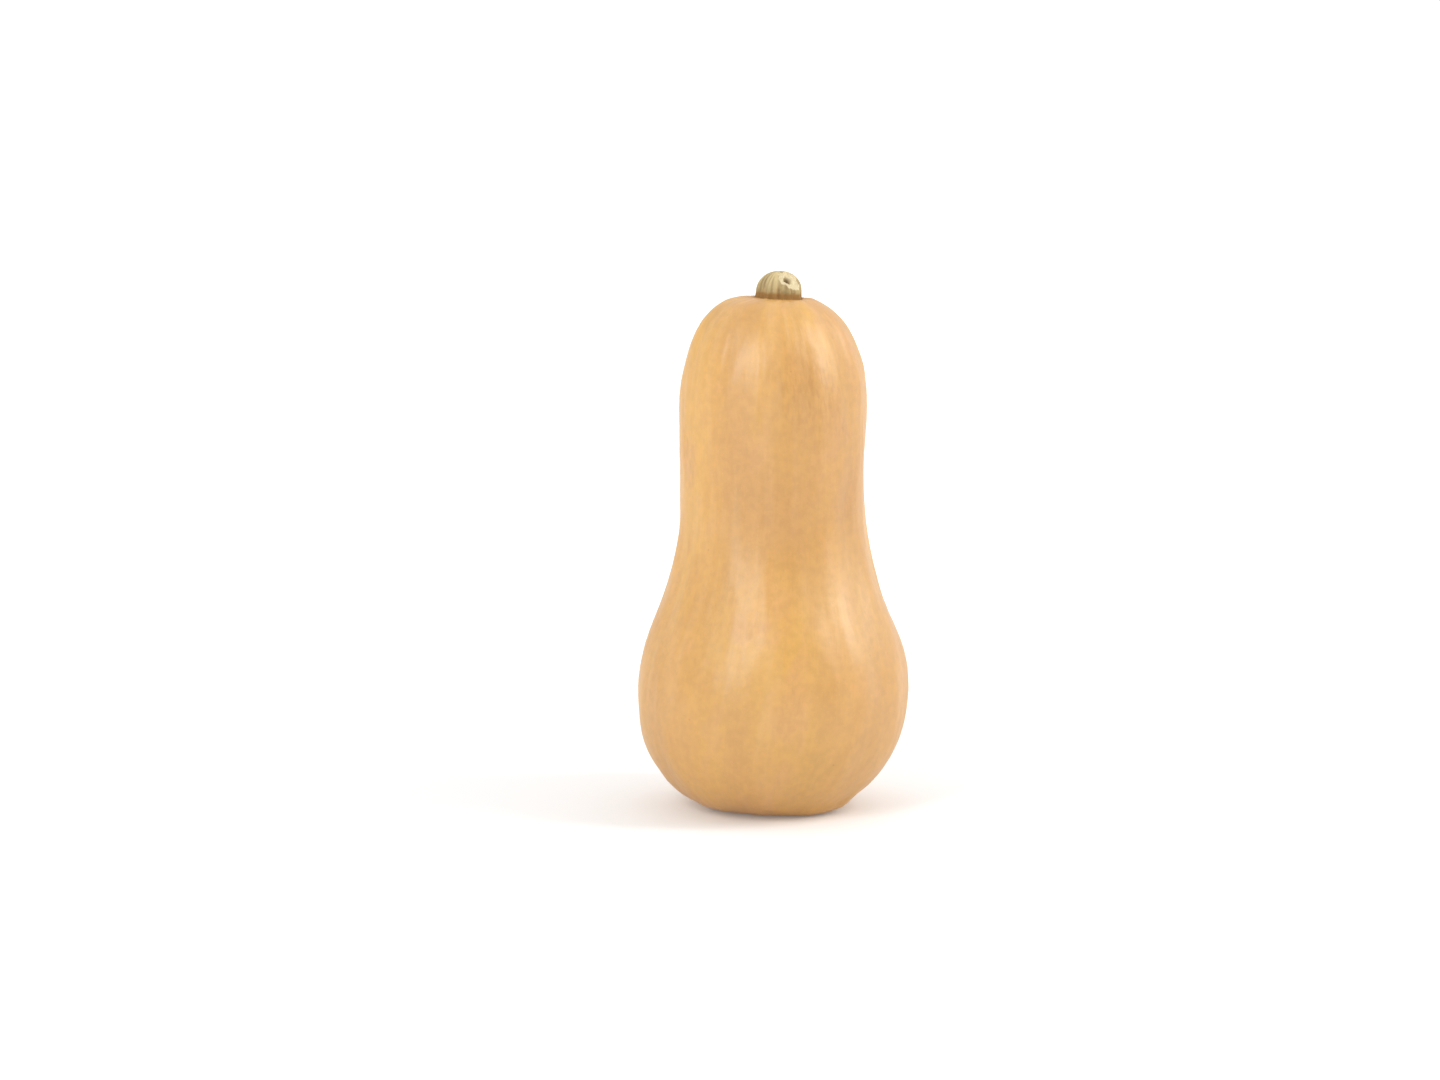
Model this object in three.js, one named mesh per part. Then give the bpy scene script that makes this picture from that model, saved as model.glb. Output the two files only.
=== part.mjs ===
// A whole butternut pumpkin standing on its blossom end, in millimetres, +Z up.
// It has two pieces: the fruit, grown as one solid, and the woody stub of the stem that sits in a shallow
// seat on top of it. Both are lathe shapes whose vertices are then pushed about by a growth rule, because
// nothing that grows is quite round. The fruit has ten faint ribs, a few soft lumps, a slightly bowed axis, a
// swelling at one side of its base and a crest that tilts a little. The stem has five corky ridges and an
// oblique break with a pith hole in it.
// The origin is the middle of the bounding box's base, on the surface that the pumpkin stands on.
import * as THREE from "three";

// Driving dimensions of the fruit
const FRUIT_LENGTH = 235; // from the resting spot to the crest of the shoulder beside the stem
const BELLY_RADIUS = 62.3;
const BELLY_HEIGHT = 52.5; // of the widest ring of the belly
const NECK_RADIUS = 42.6;
const NECK_HEIGHT = 144.5; // of the narrowest ring of the neck
const HEAD_RADIUS = 43.1;
const SHOULDER_RISE = 49; // from the widest ring of the head up to the crest
const FOOT_RADIUS = 18; // outer edge of the flat resting spot
const SCAR_RADIUS = 7.5; // of the blossom scar's hollow in the middle of the resting spot
const SCAR_DEPTH = 2;

// How far the outline runs upright before it bends, above the belly and below the neck, and by the head
const BELLY_PULL = 33;
const WAIST_PULL = 46;
const NECK_PULL = 19;

// Driving dimensions of the stem
const STEM_RADIUS = 10.9; // at its flared foot, between the ridges
const STEM_WAIST_RADIUS = 10.1; // where the dome of the stub begins
const STEM_WAIST_HEIGHT = 4;
const STEM_HEIGHT = 13;
const DOME_FULLNESS = 0.61; // how square the dome is: 0.55 is an ellipse and 1 a box
const STEM_EDGE = 0.6; // round of the foot's lower edge
const RIDGE_COUNT = 5;
const RIDGE_HEIGHT = 0.8;
const RIDGE_PHASE = 3.74; // in radians of the ridges' wave
const BREAK_TILT = THREE.MathUtils.degToRad(45); // of the broken face's normal from the vertical
const BREAK_BEARING = THREE.MathUtils.degToRad(-52); // the way it faces: forward and to the right
const BREAK_DEPTH = 1.8; // that the break takes off the dome
const PITH_RADIUS = 1.7;
const PITH_DEPTH = 1.6;

// The seat that the stem stands in
const SEAT_DEPTH = 1.2;
const SEAT_CLEARANCE = 0.5; // round the stem's ridges
const SEAT_GAP = 0.3; // under the stem
const LIP_WIDTH = 2.2; // of the rounded lip from the seat up to the crest

// Growth: how far the fruit is from a true shape of revolution
const RIB_COUNT = 10;
const RIB_HEIGHT = 0.55;
const RIB_BEARING = THREE.MathUtils.degToRad(-58); // of one crest, forward and to the right
const LUMP_HEIGHT = 0.5;
const GROWTH_FADE = 16; // ribs and lumps die out over this width beside the foot and the seat
const HEEL_HEIGHT = 8; // of the swelling beside the resting spot
const HEEL_BEARING = THREE.MathUtils.degToRad(-42);
const HEEL_SPREAD = 0.55; // round the fruit, in radians
const HEEL_RISE = 5; // up the fruit
const BASE_SHIFT = -1.8; // sideways lean of the belly
const NECK_SHIFT = -0.6; // sideways lean of the neck
const BOW = 1.5; // of the axis, backward at half height
const SEAT_SHIFT = 2.2; // of the stem, sideways from the middle of the head
const SEAT_SPREAD = 9; // width of the shoulder beside the seat that moves over with it
const CREST_TILT = THREE.MathUtils.degToRad(2.3); // of the crest and the stem, down toward the right

// Fineness of the meshes
const FRUIT_SIDES = 60;
const FRUIT_STEP = 6.5; // from ring to ring along the outline
const STEM_SIDES = 40;
const STEM_STEP = 1.3;
const LEAST_STEPS = 4; // on a short curved stretch

const QUARTER = Math.PI / 2;
const { smoothstep } = THREE.MathUtils;
const seatRadius = STEM_RADIUS + RIDGE_HEIGHT + SEAT_CLEARANCE;
const seatHeight = FRUIT_LENGTH - SEAT_DEPTH;
const shoulderRadius = seatRadius + LIP_WIDTH;
const headHeight = FRUIT_LENGTH - SHOULDER_RISE;

// Points along an outline, evenly spaced on each of its stretches, with the stretches' ends kept.
function pointsAlong(outline, step) {
  const points = [outline.curves[0].getPoint(0)];
  for (const stretch of outline.curves) {
    const steps = stretch.isLineCurve ? 1 : Math.max(LEAST_STEPS, Math.round(stretch.getLength() / step));
    points.push(...stretch.getSpacedPoints(steps).slice(1));
  }
  return points;
}

// The fruit's outline, radius against height, from the blossom scar up to the middle of the seat.
function fruitOutline() {
  const outline = new THREE.Path();
  outline.moveTo(0, SCAR_DEPTH);
  outline.bezierCurveTo(SCAR_RADIUS / 2, SCAR_DEPTH, SCAR_RADIUS / 2, 0, SCAR_RADIUS, 0);
  outline.lineTo(FOOT_RADIUS, 0);
  outline.absellipse(FOOT_RADIUS, BELLY_HEIGHT, BELLY_RADIUS - FOOT_RADIUS, BELLY_HEIGHT, -QUARTER, 0);
  outline.bezierCurveTo(
    BELLY_RADIUS, BELLY_HEIGHT + BELLY_PULL,
    NECK_RADIUS, NECK_HEIGHT - WAIST_PULL,
    NECK_RADIUS, NECK_HEIGHT,
  );
  outline.bezierCurveTo(
    NECK_RADIUS, NECK_HEIGHT + NECK_PULL,
    HEAD_RADIUS, headHeight - NECK_PULL,
    HEAD_RADIUS, headHeight,
  );
  outline.absellipse(shoulderRadius, headHeight, HEAD_RADIUS - shoulderRadius, SHOULDER_RISE, 0, QUARTER);
  outline.bezierCurveTo(
    seatRadius + LIP_WIDTH / 2, FRUIT_LENGTH,
    seatRadius + LIP_WIDTH / 2, seatHeight,
    seatRadius, seatHeight,
  );
  outline.lineTo(0, seatHeight);
  return pointsAlong(outline, FRUIT_STEP);
}

// Ten faint ribs: crests unevenly spaced and unevenly high, strongest at the waist and under the shoulder.
function ribs(angle, height) {
  const spacing = 0.5 * Math.sin(2 * angle + 0.8) + 0.4 * Math.sin(3 * angle + 2.1);
  const evenness = 0.7 + 0.3 * Math.sin(2 * angle + 1.9);
  const atWaist = Math.exp(-(((height / FRUIT_LENGTH - 0.47) / 0.14) ** 2));
  const underShoulder = Math.exp(-(((height / FRUIT_LENGTH - 0.95) / 0.07) ** 2));
  const strength = 0.5 + 0.5 * atWaist + 0.4 * underShoulder;
  return RIB_HEIGHT * strength * evenness * Math.cos(RIB_COUNT * (angle - RIB_BEARING) + spacing);
}

// Soft lumps, two, three and five to a turn, which drift round the fruit as they climb.
function lumps(angle, height) {
  const climb = (2 * Math.PI * height) / FRUIT_LENGTH;
  const oval = Math.sin(2 * angle + 0.9 + 0.9 * climb);
  const triad = 0.7 * Math.sin(3 * angle + 2 - 0.7 * climb);
  const five = 0.5 * Math.sin(5 * angle + 4 + 1.2 * climb) * Math.sin(2 * climb);
  return LUMP_HEIGHT * (oval + triad + five);
}

// A low swelling that carries the resting spot out to one side.
function heel(angle, height) {
  const aside = Math.atan2(Math.sin(angle - HEEL_BEARING), Math.cos(angle - HEEL_BEARING));
  return HEEL_HEIGHT * Math.exp(-((aside / HEEL_SPREAD) ** 2) - (height / HEEL_RISE) ** 2);
}

// Where the fruit's axis is at a height: the belly and the neck lean a little and the whole bows backward.
function axisAt(height) {
  const base = 1 - smoothstep(height, 0, 0.3 * FRUIT_LENGTH);
  const neck = Math.exp(-(((height / FRUIT_LENGTH - 0.6) / 0.22) ** 2));
  return {
    x: BASE_SHIFT * base + NECK_SHIFT * neck,
    y: BOW * Math.sin((Math.PI * height) / FRUIT_LENGTH),
  };
}

// Turns an outline about +Z, then moves every vertex to where place(radius, height, angle) says.
function grown(outline, sides, place) {
  const geometry = new THREE.LatheGeometry(outline, sides);
  geometry.rotateX(QUARTER);
  const position = geometry.getAttribute("position");
  for (let i = 0; i < position.count; i++) {
    const [x, y, z] = [position.getX(i), position.getY(i), position.getZ(i)];
    const moved = place(Math.hypot(x, y), z, Math.atan2(y, x));
    position.setXYZ(i, moved.x, moved.y, moved.z);
  }
  geometry.computeVertexNormals();
  return geometry;
}

function makeFruit() {
  return grown(fruitOutline(), FRUIT_SIDES, (radius, height, angle) => {
    const flatEdge = height < headHeight ? FOOT_RADIUS : shoulderRadius;
    const fade = smoothstep(radius, flatEdge, flatEdge + GROWTH_FADE);
    const outOfScar = smoothstep(radius, SCAR_RADIUS, FOOT_RADIUS);
    const r = radius + fade * (ribs(angle, height) + lumps(angle, height)) + outOfScar * heel(angle, height);
    const axis = axisAt(height);
    const fromSeat = smoothstep(radius, shoulderRadius, shoulderRadius + SEAT_SPREAD);
    const besideSeat = height < headHeight ? 0 : 1 - fromSeat;
    const tilt = Math.tan(CREST_TILT) * smoothstep(height, 0.82 * FRUIT_LENGTH, FRUIT_LENGTH);
    return new THREE.Vector3(
      axis.x + SEAT_SHIFT * besideSeat + r * Math.cos(angle),
      axis.y + r * Math.sin(angle),
      height - tilt * r * Math.cos(angle),
    );
  });
}

// The stem's outline: a flat underside, a flared foot and a dome.
function stemOutline() {
  const outline = new THREE.Path();
  outline.moveTo(0, 0);
  outline.lineTo(STEM_RADIUS - STEM_EDGE, 0);
  outline.absarc(STEM_RADIUS - STEM_EDGE, STEM_EDGE, STEM_EDGE, -QUARTER, 0);
  outline.quadraticCurveTo(STEM_WAIST_RADIUS, STEM_EDGE, STEM_WAIST_RADIUS, STEM_WAIST_HEIGHT);
  outline.bezierCurveTo(
    STEM_WAIST_RADIUS, STEM_WAIST_HEIGHT + DOME_FULLNESS * (STEM_HEIGHT - STEM_WAIST_HEIGHT),
    DOME_FULLNESS * STEM_WAIST_RADIUS, STEM_HEIGHT, 0, STEM_HEIGHT,
  );
  return pointsAlong(outline, STEM_STEP);
}

function makeStem() {
  const normal = new THREE.Vector3(
    Math.sin(BREAK_TILT) * Math.cos(BREAK_BEARING),
    Math.sin(BREAK_TILT) * Math.sin(BREAK_BEARING),
    Math.cos(BREAK_TILT),
  );
  // How far out the stub reaches along the normal, and the break's plane and middle inside it
  const outline = stemOutline();
  const reaches = outline.map((point) => point.x * Math.sin(BREAK_TILT) + point.y * Math.cos(BREAK_TILT));
  const breakAt = Math.max(...reaches) - BREAK_DEPTH;
  const inside = breakAt - STEM_WAIST_HEIGHT * normal.z;
  const middle = new THREE.Vector3(0, 0, STEM_WAIST_HEIGHT).addScaledVector(normal, inside);
  return grown(outline, STEM_SIDES, (radius, height, angle) => {
    const towardRim = radius / STEM_WAIST_RADIUS;
    const ridge = RIDGE_HEIGHT * Math.min(1, towardRim ** 2) * Math.cos(RIDGE_COUNT * angle + RIDGE_PHASE);
    const fade = 1 - 0.5 * smoothstep(height, 0, STEM_HEIGHT);
    const r = radius + fade * ridge;
    const point = new THREE.Vector3(r * Math.cos(angle), r * Math.sin(angle), height);
    const above = point.dot(normal) - breakAt;
    if (above > 0) point.addScaledVector(normal, -above);
    const fromPith = point.distanceTo(middle) / PITH_RADIUS;
    return point.addScaledVector(normal, -PITH_DEPTH * Math.exp(-(fromPith ** 2)));
  });
}

const fruit = new THREE.Mesh(
  makeFruit(),
  new THREE.MeshStandardMaterial({ color: 0xdfa868, roughness: 0.5, metalness: 0 }),
);
fruit.name = "fruit";

const stem = new THREE.Mesh(
  makeStem(),
  new THREE.MeshStandardMaterial({ color: 0xb49d6e, roughness: 0.85, metalness: 0 }),
);
stem.name = "stem";
const seatAxis = axisAt(seatHeight);
stem.position.set(seatAxis.x + SEAT_SHIFT, seatAxis.y, seatHeight + SEAT_GAP);
stem.rotation.y = CREST_TILT;

const grownTogether = new THREE.Group();
grownTogether.add(fruit, stem);
fruit.geometry.computeBoundingBox();
const middleOfBox = fruit.geometry.boundingBox.getCenter(new THREE.Vector3());
grownTogether.position.set(-middleOfBox.x, -middleOfBox.y, 0);

const pumpkin = new THREE.Group();
pumpkin.add(grownTogether);

export default pumpkin;
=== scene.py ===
# %% [markdown]
# # A whole butternut pumpkin
#
# A butternut is a pear-shaped pumpkin: a straight neck of solid flesh, a round belly that holds the
# seeds, and a short stub of woody stem where it was broken off the vine. It grew as one solid, so only
# two pieces are made here: the fruit and the stem. What makes it look real is that nothing on it is quite
# regular: ten faint ribs, soft lumps, a bowed axis, and a skin full of small marks.
#
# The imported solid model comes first. It fixes every size and place, and the two fine surfaces made below
# stand for its two solids and are fitted to their boxes.

# %% Load the frame
import math

import bpy
import numpy as np
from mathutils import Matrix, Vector


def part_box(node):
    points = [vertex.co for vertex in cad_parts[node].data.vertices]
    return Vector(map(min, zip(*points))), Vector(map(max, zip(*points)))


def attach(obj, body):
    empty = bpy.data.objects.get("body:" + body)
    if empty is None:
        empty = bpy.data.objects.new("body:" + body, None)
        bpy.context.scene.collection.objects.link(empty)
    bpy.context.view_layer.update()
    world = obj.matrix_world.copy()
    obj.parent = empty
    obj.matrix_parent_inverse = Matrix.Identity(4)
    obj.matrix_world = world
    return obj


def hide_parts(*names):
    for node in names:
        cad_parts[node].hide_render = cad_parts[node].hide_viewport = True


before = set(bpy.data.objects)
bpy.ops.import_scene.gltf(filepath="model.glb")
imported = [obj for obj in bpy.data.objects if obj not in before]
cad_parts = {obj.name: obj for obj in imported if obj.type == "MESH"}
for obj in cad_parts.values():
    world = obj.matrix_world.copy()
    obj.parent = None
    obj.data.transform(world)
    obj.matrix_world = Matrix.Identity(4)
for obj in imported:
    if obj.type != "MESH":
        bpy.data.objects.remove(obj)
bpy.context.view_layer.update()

MM = 0.001  # sizes are written in millimetres and held in metres
fruit_low, fruit_high = (np.array(corner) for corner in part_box("fruit"))
stem_low, stem_high = (np.array(corner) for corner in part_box("stem"))
FRUIT_LENGTH = 235 * MM  # from the resting spot to the crest of the shoulder beside the stem
for name, low, high in (("fruit", fruit_low, fruit_high), ("stem", stem_low, stem_high)):
    print(name, "measures", np.round((high - low) / MM, 1), "mm")

# %% [markdown]
# ## Camera
#
# A product picture of a small thing is taken from a step back with a long lens, so that its top and its
# base keep the same scale. The camera stands a little over one and a half metres away and 8 degrees above
# level. It aims a little to the left of the fruit, at about half its height, which leaves the fruit right
# of the middle.

# %% Set up the camera
CAMERA_DISTANCE = 1.560  # in metres
CAMERA_ELEVATION = math.radians(8)
FOCAL_LENGTH = 85  # in the camera's own millimetres, on a sensor 36 wide
SENSOR_WIDTH = 36
AIM_ASIDE = 24.7 * MM  # to the left of the fruit's middle
AIM_SHARE = 0.5264  # of the fruit's length

aim = Vector((-AIM_ASIDE, 0, AIM_SHARE * FRUIT_LENGTH))
toward_camera = Vector((0, -math.cos(CAMERA_ELEVATION), math.sin(CAMERA_ELEVATION)))
camera_data = bpy.data.cameras.new("camera")
camera_data.lens = FOCAL_LENGTH
camera_data.sensor_width = SENSOR_WIDTH
camera = bpy.data.objects.new("camera", camera_data)
camera.location = aim + CAMERA_DISTANCE * toward_camera
camera.rotation_euler = (math.pi / 2 - CAMERA_ELEVATION, 0, 0)
bpy.context.collection.objects.link(camera)
bpy.context.scene.camera = camera
print("camera at", tuple(round(value, 3) for value in camera.location))

# %% [markdown]
# ## A shader language in two small classes
#
# A Blender material is a graph of nodes. Written out node by node it is long and hard to read, so two
# classes turn it into arithmetic. `Value` is one number of the graph that changes over the surface: `1 -
# mask * 0.5` adds the Math nodes that work it out. `Finish` is a material with its shader, and its `node`
# method adds any other node from its type, its settings and what goes into its sockets.

# %% Values that can be used in sums
class Value:
    """The output socket of a node, used as a number: each operator adds one Math node."""

    def __init__(self, finish, socket):
        self.finish = finish
        self.socket = socket

    def combine(self, operation, first, second, clamp=False):
        """A Math node on two values, either of which may be a plain number."""
        settings = {"operation": operation, "use_clamp": clamp}
        return self.finish.node("ShaderNodeMath", settings, {0: first, 1: second})

    def __add__(self, other):
        return self.combine("ADD", self, other)

    def __radd__(self, other):
        return self.combine("ADD", other, self)

    def __sub__(self, other):
        return self.combine("SUBTRACT", self, other)

    def __rsub__(self, other):
        return self.combine("SUBTRACT", other, self)

    def __mul__(self, other):
        return self.combine("MULTIPLY", self, other)

    def __rmul__(self, other):
        return self.combine("MULTIPLY", other, self)

    def clamped(self):
        """The value kept between 0 and 1."""
        return self.combine("ADD", self, 0.0, clamp=True)


# %% A material and the one method that adds its nodes
class Finish:
    """A material with a Principled shader. Constant properties are set on the shader's own sockets."""

    def __init__(self, name, **constants):
        self.material = bpy.data.materials.new(name)
        self.material.use_nodes = True
        self.tree = self.material.node_tree
        self.shader = self.tree.nodes["Principled BSDF"]
        for socket, value in constants.items():
            self.shader.inputs[socket.replace("_", " ")].default_value = value

    def node(self, kind, settings=None, inputs=None, output=0):
        """Adds a node: first its settings, then the values or links of its sockets."""
        made = self.tree.nodes.new(kind)
        for name, value in (settings or {}).items():
            setattr(made, name, value)
        for name, value in (inputs or {}).items():
            self.fill(made.inputs[name], value)
        return Value(self, made.outputs[output])

    def fill(self, socket, value):
        """Links a value into a socket, or sets a plain number or colour on it."""
        if isinstance(value, Value):
            self.tree.links.new(value.socket, socket)
        elif socket.type == "RGBA":
            socket.default_value = (*value[:3], 1)
        else:
            socket.default_value = value

    def attribute(self, name, output="Vector"):
        """What the mesh itself stores under a name, for each of its vertices."""
        return self.node("ShaderNodeAttribute", {"attribute_name": name}, output=output)

    def stretched(self, vector, factors):
        """A vector with each of its three numbers multiplied by a factor of its own."""
        return self.node("ShaderNodeVectorMath", {"operation": "MULTIPLY"}, {0: vector, 1: factors})

    def noise(self, vector, size, detail=2.0, roughness=0.5, warp=0.0):
        """Cloudy noise from 0 to 1 whose blobs are about `size` metres across."""
        values = {"Vector": vector, "Scale": 1 / size, "Detail": detail, "Roughness": roughness,
                  "Distortion": warp}
        return self.node("ShaderNodeTexNoise", inputs=values)

    def nearest_point(self, vector, size):
        """Of points scattered about `size` metres apart, the distance to the nearest, and that point's own
        random number from 0 to 1."""
        values = {"Vector": vector, "Scale": 1 / size}
        distance = self.node("ShaderNodeTexVoronoi", inputs=values, output="Distance")
        colour = self.node("ShaderNodeTexVoronoi", inputs=values, output="Color")
        return distance, self.node("ShaderNodeSeparateColor", inputs={0: colour})

    def between(self, value, low, high):
        """A soft step: 0 where the value is at `low`, 1 where it is at `high`, and smooth between them."""
        values = {"Value": value, "From Min": low, "From Max": high}
        return self.node("ShaderNodeMapRange", {"interpolation_type": "SMOOTHSTEP"}, values)

    def patch(self, vector, middle, near, far):
        """A soft round patch: 1 within `near` metres of its middle, and 0 from `far` metres on."""
        points = {0: vector, 1: middle}
        distance = self.node("ShaderNodeVectorMath", {"operation": "DISTANCE"}, points, "Value")
        return 1 - self.between(distance, near, far)

    def mix(self, amount, first, second, how="MIX"):
        """Two colours mixed, or the second multiplied into the first, by an amount from 0 to 1."""
        settings = {"data_type": "RGBA", "blend_type": how}
        return self.node("ShaderNodeMix", settings, {0: amount, 6: first, 7: second}, output=2)

    def grey(self, level):
        """A colour whose red, green and blue are all this value."""
        return self.node("ShaderNodeCombineColor", inputs={0: level, 1: level, 2: level})

    def bump(self, height, depth):
        """A normal tilted by a height from 0 to 1 that stands for `depth` metres."""
        return self.node("ShaderNodeBump", inputs={"Height": height, "Distance": depth, "Strength": 1.0})

    def shade(self, **sockets):
        """Links values into the shader's own sockets."""
        for socket, value in sockets.items():
            self.fill(self.shader.inputs[socket.replace("_", " ")], value)


print("Value and Finish are ready")

# %% [markdown]
# ## Floor and light
#
# The fruit stands on a plain white floor in a white room. The room is brightest behind the fruit and
# overhead, and dimmer behind the camera, so the skin is lit from nearly all sides and still keeps some
# form. The floor gives off a little light of its own, more far away, which keeps its shadow thin and its
# far end white. Two tall softboxes give the skin its soft gleams, one in front to the left and one to the
# right, which also picks out the shoulder of the belly.

# %% Lay the floor
FLOOR_HALF = 6.0  # half the length of its side, in metres
FLOOR_WHITE = 0.82
NEAR_GLOW = 0.12  # that the floor gives off by itself at the fruit, which thins its shadow
FAR_GLOW = 0.50  # and far from it, where a white sheet would curve up behind
GLOW_START = 0.12  # metres from the fruit, where the glow begins to grow
GLOW_END = 0.7
floor_mesh = bpy.data.meshes.new("floor")
floor_corners = [(-FLOOR_HALF, -FLOOR_HALF, 0), (FLOOR_HALF, -FLOOR_HALF, 0), (FLOOR_HALF, FLOOR_HALF, 0),
                 (-FLOOR_HALF, FLOOR_HALF, 0)]
floor_mesh.from_pydata(floor_corners, [], [(0, 1, 2, 3)])
floor = bpy.data.objects.new("floor", floor_mesh)
bpy.context.collection.objects.link(floor)
floor_finish = Finish("floor", Roughness=0.9, Specular_IOR_Level=0.2, Emission_Strength=1.0,
                      Base_Color=(FLOOR_WHITE, FLOOR_WHITE, FLOOR_WHITE, 1))
on_floor = floor_finish.node("ShaderNodeTexCoord", output="Object")
from_fruit = floor_finish.node("ShaderNodeVectorMath", {"operation": "LENGTH"}, {0: on_floor}, "Value")
glow = NEAR_GLOW + (FAR_GLOW - NEAR_GLOW) * floor_finish.between(from_fruit, GLOW_START, GLOW_END)
floor_finish.shade(Emission_Color=floor_finish.grey(glow))
floor_mesh.materials.append(floor_finish.material)
print("floor is", 2 * FLOOR_HALF, "m across")

# %% Light the room
WALL_LIGHT = 1.04  # behind the fruit and overhead
CAMERA_SIDE_LIGHT = 0.41
BRIGHT_WAY = (0, 0.83, 0.56)  # the room is brightest this way, backward and up
DIM_UNTIL = -0.4  # this far along the bright way, where 1 is straight along it and -1 straight away from it
BRIGHT_FROM = 0.6

world = bpy.data.worlds.new("white room")
world.use_nodes = True
bpy.context.scene.world = world
background = world.node_tree.nodes["Background"]
way = world.node_tree.nodes.new("ShaderNodeTexCoord")
toward_wall = world.node_tree.nodes.new("ShaderNodeVectorMath")
toward_wall.operation = "DOT_PRODUCT"
toward_wall.inputs[1].default_value = BRIGHT_WAY
room = world.node_tree.nodes.new("ShaderNodeMapRange")
room.interpolation_type = "SMOOTHSTEP"
world.node_tree.links.new(way.outputs["Generated"], toward_wall.inputs[0])
world.node_tree.links.new(toward_wall.outputs["Value"], room.inputs["Value"])
room.inputs["From Min"].default_value = DIM_UNTIL
room.inputs["From Max"].default_value = BRIGHT_FROM
room.inputs["To Min"].default_value = CAMERA_SIDE_LIGHT
room.inputs["To Max"].default_value = WALL_LIGHT
world.node_tree.links.new(room.outputs["Result"], background.inputs["Strength"])
background.inputs["Color"].default_value = (1, 1, 1, 1)
bpy.context.scene.view_settings.view_transform = "Standard"


def softbox(name, azimuth, elevation, distance, width, height, radiance):
    """A glowing rectangle turned to the fruit. Azimuth is in degrees, 0 at the camera and 90 to the
    right. Its power is its radiance times its area times pi, because it sends light to every side in front
    of it."""
    turn, lift = math.radians(azimuth), math.radians(elevation)
    way = Vector((math.sin(turn) * math.cos(lift), -math.cos(turn) * math.cos(lift), math.sin(lift)))
    light = bpy.data.lights.new(name, "AREA")
    light.shape = "RECTANGLE"
    light.size = width
    light.size_y = height
    light.energy = radiance * width * height * math.pi
    placed = bpy.data.objects.new(name, light)
    placed.location = aim + distance * way
    placed.rotation_euler = way.to_track_quat("Z", "Y").to_euler()
    placed.visible_camera = False
    bpy.context.collection.objects.link(placed)


softbox("left_softbox", azimuth=-34, elevation=30, distance=1.5, width=0.40, height=0.9, radiance=9.4)
softbox("right_softbox", azimuth=79, elevation=34, distance=1.4, width=0.34, height=1.0, radiance=9.0)
print("lights:", [light.name for light in bpy.data.lights])

# %% [markdown]
# ## Curves and surfaces worked out with numpy
#
# Both pieces are turned shapes that growth has pushed about. The outline of such a shape is a list of
# stretches, Bezier curves, arcs and straight lines. Sculpting by hand could reach the same form, but a
# formula keeps every size adjustable and says what each lump is for. Each helper below works on a whole
# array of points at once.

# %% Stretches of an outline
def bezier(start, first, second, end, count=240):
    """A cubic curve: (1-t)^3 start + 3(1-t)^2 t first + 3(1-t) t^2 second + t^3 end, for t from 0 to 1."""
    t = np.linspace(0, 1, count)[:, None]
    start, first, second, end = map(np.array, (start, first, second, end))
    return (1 - t) ** 3 * start + 3 * (1 - t) ** 2 * t * first + 3 * (1 - t) * t**2 * second + t**3 * end


def arc(centre, radii, begin, end, count=240):
    """Part of an ellipse: centre + (first radius x cos a, second x sin a), for a from begin to end."""
    a = np.linspace(begin, end, count)
    return np.stack([centre[0] + radii[0] * np.cos(a), centre[1] + radii[1] * np.sin(a)], axis=1)


def line(start, end, count=120):
    """A straight stretch: start + t (end - start), for t from 0 to 1."""
    t = np.linspace(0, 1, count)[:, None]
    return np.array(start) + t * (np.array(end) - np.array(start))


def joined(stretches):
    """The stretches end to end, without the repeated points where they meet."""
    return np.concatenate([stretches[0]] + [stretch[1:] for stretch in stretches[1:]])


# %% Walking along an outline
def travelled(outline):
    """How far along the outline each of its points is: the running sum of the distances between them."""
    return np.concatenate([[0.0], np.cumsum(np.linalg.norm(np.diff(outline, axis=0), axis=1))])


def respaced(outline, step):
    """New points along an outline, a step apart, where the step is one length or one for each old point.
    The running sum of distance over step numbers the old points. The new ones are evenly spaced in it."""
    distance = travelled(outline)
    steps = np.broadcast_to(step, distance.shape)
    number = np.concatenate([[0.0], np.cumsum(np.diff(distance) * 2 / (steps[1:] + steps[:-1]))])
    wanted = np.interp(np.linspace(0, number[-1], round(number[-1]) + 1), number, distance)
    return np.stack([np.interp(wanted, distance, column) for column in outline.T], axis=1)


def smoothstep(value, low, high):
    """0 below low, 1 above high, and 3t^2 - 2t^3 between them, where t is the share of the way."""
    share = np.clip((value - low) / (high - low), 0, 1)
    return share * share * (3 - 2 * share)


def bell(distance, width):
    """exp(-(distance / width)^2), which is 1 at no distance and fades to nothing over about two widths."""
    return np.exp(-((distance / width) ** 2))


def blurred(outline, reach, step):
    """An evenly spaced outline averaged along its length with a bell of that reach. Each end is carried on
    by its own mirror image."""
    half = math.ceil(3 * reach / step)
    weights = bell(np.arange(-half, half + 1) * step, reach * math.sqrt(2))
    weights /= weights.sum()
    before = 2 * outline[0] - outline[half:0:-1]
    after = 2 * outline[-1] - outline[-2:-half - 2:-1]
    carried_on = np.concatenate([before, outline, after])
    return np.stack([np.convolve(column, weights, mode="valid") for column in carried_on.T], axis=1)


def outward(outline):
    """The unit normal at each point: the outline's direction (across, up) turned to (up, -across)."""
    across, up = np.gradient(outline[:, 0]), np.gradient(outline[:, 1])
    length = np.hypot(across, up)
    return np.stack([up / length, -across / length], axis=1)


# %% [markdown]
# A grid of rings becomes a mesh in one go. The vertices of ring i and ring i + 1 are joined by quads, the
# last column joins the first so that there is no seam, and each end closes on a single vertex with a fan
# of triangles. Numbers that the material needs later, such as how far along the skin a vertex is, go into
# the mesh as attributes, which follow the surface wherever it goes.

# %% From rings of points to a mesh
def around(rings):
    """A rings x columns array as one value per vertex: one for each end's single vertex, all for others."""
    inner = rings[1:-1].reshape(-1, *rings.shape[2:])
    return np.concatenate([rings[0, :1], inner, rings[-1, :1]])


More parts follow.
